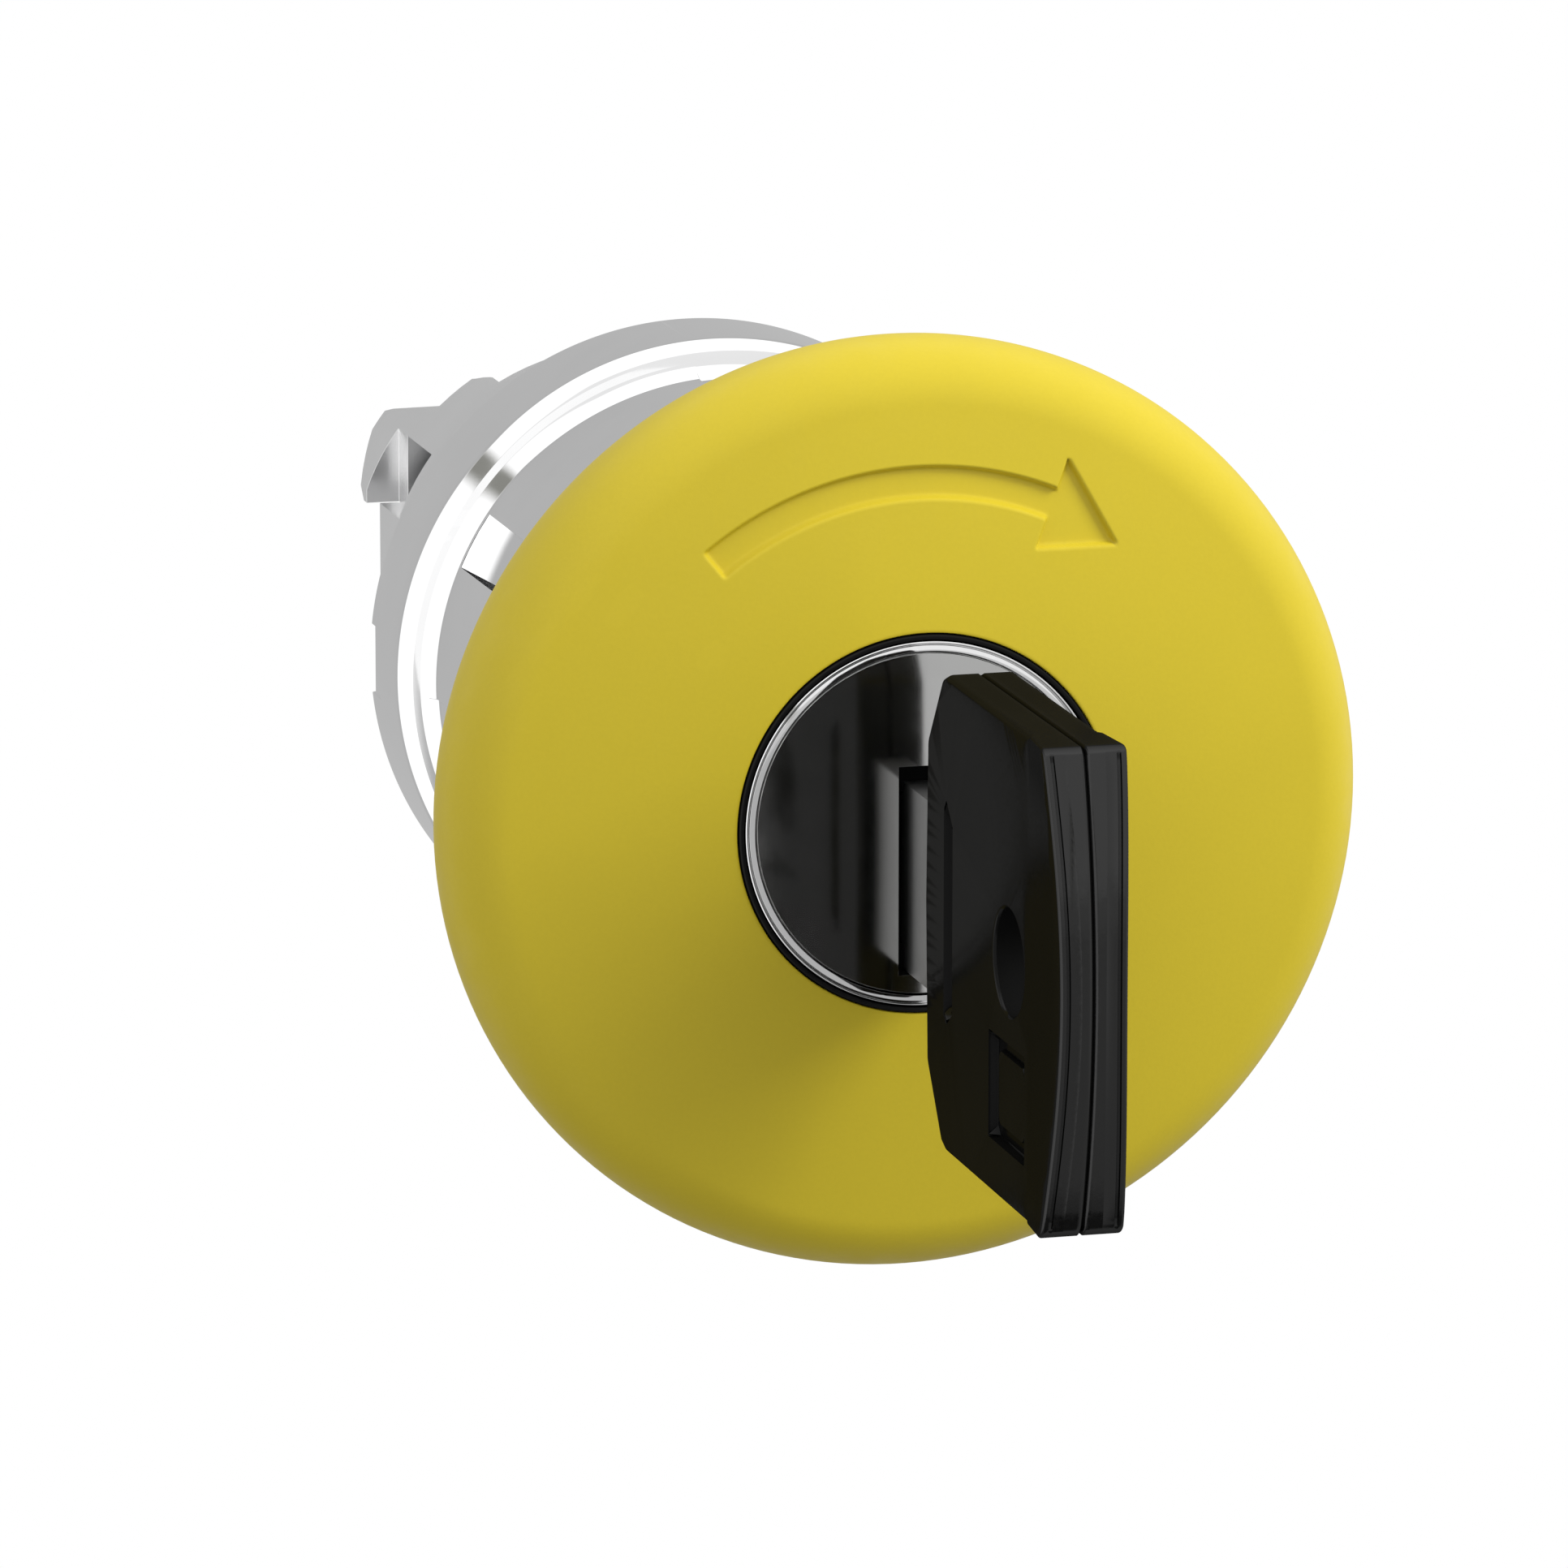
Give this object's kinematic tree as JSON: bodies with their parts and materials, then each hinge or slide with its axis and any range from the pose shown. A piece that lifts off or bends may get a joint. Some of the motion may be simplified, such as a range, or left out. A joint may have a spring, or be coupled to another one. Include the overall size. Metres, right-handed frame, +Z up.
{
  "type": "key release mushroom push button head",
  "caption": "Yellow 40 mm mushroom push-button head with a metal bezel, a latch inside, and a key lock in its centre that releases it.",
  "frame": {"origin": "on the button axis, in the plane of the panel's front face, where mounting_tube passes through it", "axes": "+Y back along the button axis into the panel, -Y is the operator's side, +Z up"},
  "size_m": [0.04, 0.0874, 0.04],
  "materials": {
    "yellow_plastic": "satin moulded, fine grain",
    "black_rubber": "matt",
    "chrome_plate": "polished",
    "key_steel": "nickel plated",
    "key_plastic": "satin moulded",
    "brass_metal": "machined",
    "zinc_die_cast": "die cast, satin",
    "spring_steel": "drawn wire",
    "grey_plastic": "moulded",
    "black_plastic": "moulded",
    "zinc_plated_steel": "bright zinc"
  },
  "bodies": {
    "bezel": {"bezel_body": "chrome_plate", "panel_gasket": "black_rubber", "guide_sleeve": "grey_plastic", "stem_wiper_seal": "black_rubber", "latch_ring": "spring_steel", "return_spring": "spring_steel", "spring_seat": "black_plastic", "retaining_ring": "spring_steel"},
    "head": {"mushroom_cap": "yellow_plastic", "lock_seal_ring": "black_rubber", "lock_trim_ring": "chrome_plate", "lock_barrel": "zinc_die_cast", "carrier_stem": "black_plastic", "carrier_base": "black_plastic", "base_pins": "zinc_plated_steel", "cap_screws": "zinc_plated_steel", "contact_pusher": "grey_plastic", "pusher_screw": "zinc_plated_steel"},
    "plug": {"lock_plug": "chrome_plate", "wafer_tumblers": "brass_metal", "wafer_springs": "spring_steel", "latch_cam": "zinc_plated_steel", "cam_screw": "zinc_plated_steel"},
    "latch_left": {"latch_pin_left": "zinc_plated_steel"},
    "latch_right": {"latch_pin_right": "zinc_plated_steel"},
    "key": {"key_blade": "key_steel", "key_bow_left": "key_plastic", "key_bow_right": "key_plastic"}
  },
  "joints": [
    {"name": "head_push", "type": "slide", "parent": "bezel", "child": "head", "axis": [0, 1, 0], "range_m": [0, 0.0043], "deforming": ["return_spring", "latch_ring"]},
    {"name": "key_turn", "type": "hinge", "parent": "head", "child": "plug", "pos_m": [0, -0.03, 0], "axis": [0, 1, 0], "range_deg": [0, 60]},
    {"name": "latch_right_slide", "type": "slide", "parent": "head", "child": "latch_right", "axis": [-1, 0, 0], "range_m": [0, 0.00121]},
    {"name": "latch_left_slide", "type": "slide", "parent": "head", "child": "latch_left", "axis": [1, 0, 0], "range_m": [0, 0.00121]},
    {"name": "key_withdraw", "type": "slide", "parent": "plug", "child": "key", "axis": [0, -1, 0], "range_m": [0, 0.024]}
  ],
  "couplings": [
    {"joint": "latch_right_slide", "follows": "key_turn", "m_per_rad": 0.0011459},
    {"joint": "latch_left_slide", "follows": "key_turn", "m_per_rad": 0.0011459}
  ]
}
